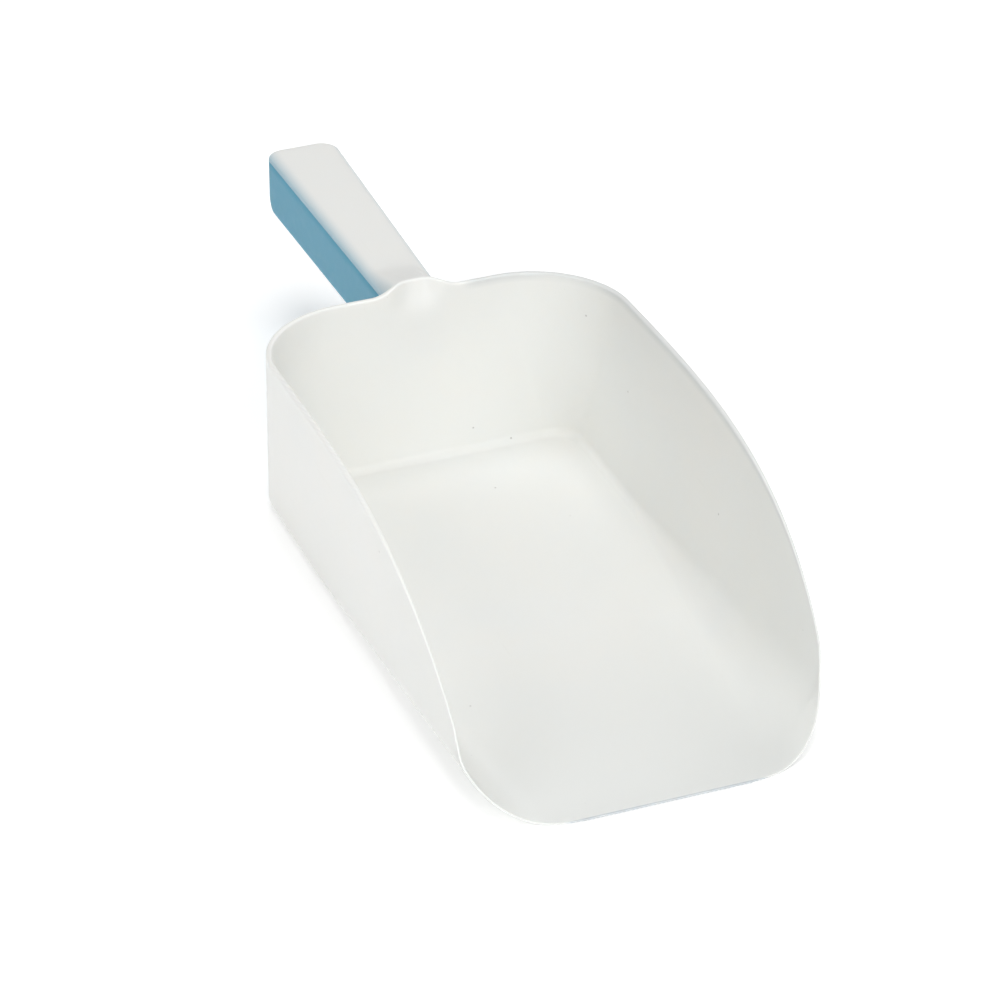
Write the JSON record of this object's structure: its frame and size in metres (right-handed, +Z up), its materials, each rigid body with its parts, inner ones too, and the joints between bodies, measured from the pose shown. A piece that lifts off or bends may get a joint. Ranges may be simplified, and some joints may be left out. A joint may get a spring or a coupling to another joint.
{
  "type": "feed scoop",
  "caption": "Hand scoop for loose feed: deep moulded bowl with rounded corners and a thin straight lip, and a straight two-piece handle off its rear wall.",
  "frame": {"origin": "on the resting plane of the bowl's floor, midway between the end of the handle and the lip, and midway across the bowl", "axes": "+X towards the lip, along the handle's line; +Y across the bowl; +Z up, out of the mouth of the bowl"},
  "size_m": [0.418, 0.1586, 0.0862],
  "materials": {
    "white_plastic": "natural translucent white polypropylene, fine satin surface",
    "blue_plastic": "muted sky blue polypropylene, satin",
    "screw_steel": "stainless steel screws"
  },
  "bodies": {
    "root": {"scoop_body": "white_plastic", "grip_shell": "blue_plastic", "grip_screws": "screw_steel"}
  },
  "joints": []
}
